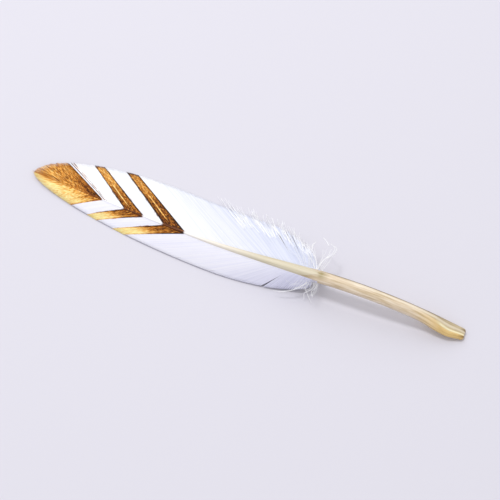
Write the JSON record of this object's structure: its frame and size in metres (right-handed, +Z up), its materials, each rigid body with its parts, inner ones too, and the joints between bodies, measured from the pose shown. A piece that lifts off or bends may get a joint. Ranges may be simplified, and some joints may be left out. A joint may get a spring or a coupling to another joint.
{
  "type": "quill pen feather",
  "caption": "Natural white feather quill with an uncut hollow calamus, a gold-painted tip and gold chevron bands across both vanes.",
  "frame": {"origin": "on the table under the middle of the whole feather", "axes": "+Z up, away from the table the feather rests on; +X along the feather towards the end of the calamus, the vane tip towards -X; the wide vane on the +Y side"},
  "size_m": [0.1786, 0.0306, 0.0117],
  "materials": {
    "barb_white": "silky white feather barbs, zipped into a vane",
    "down_white": "loose white down",
    "gold_paint": "metallic gold paint brushed over barbs, with brown edges",
    "rachis_horn": "cream keratin, satin",
    "pith": "white foamy pith",
    "calamus_horn": "translucent amber keratin, glossy",
    "pulp_membrane": "dry, papery membrane"
  },
  "bodies": {
    "root": {"calamus_barrel": "calamus_horn", "calamus_pinched_end": "calamus_horn", "pulp_caps": "pulp_membrane", "rachis_cortex": "rachis_horn", "rachis_pith": "pith", "wide_tip_gold": "gold_paint", "wide_outer_white": "barb_white", "wide_outer_chevron": "gold_paint", "wide_inner_white": "barb_white", "wide_inner_chevron": "gold_paint", "wide_main_vane": "barb_white", "wide_fringe": "barb_white", "narrow_tip_gold": "gold_paint", "narrow_outer_white": "barb_white", "narrow_outer_chevron": "gold_paint", "narrow_inner_white": "barb_white", "narrow_inner_chevron": "gold_paint", "narrow_main_vane": "barb_white", "narrow_lock": "barb_white", "wide_down": "down_white", "narrow_down": "down_white", "afterfeather": "down_white"}
  },
  "joints": []
}
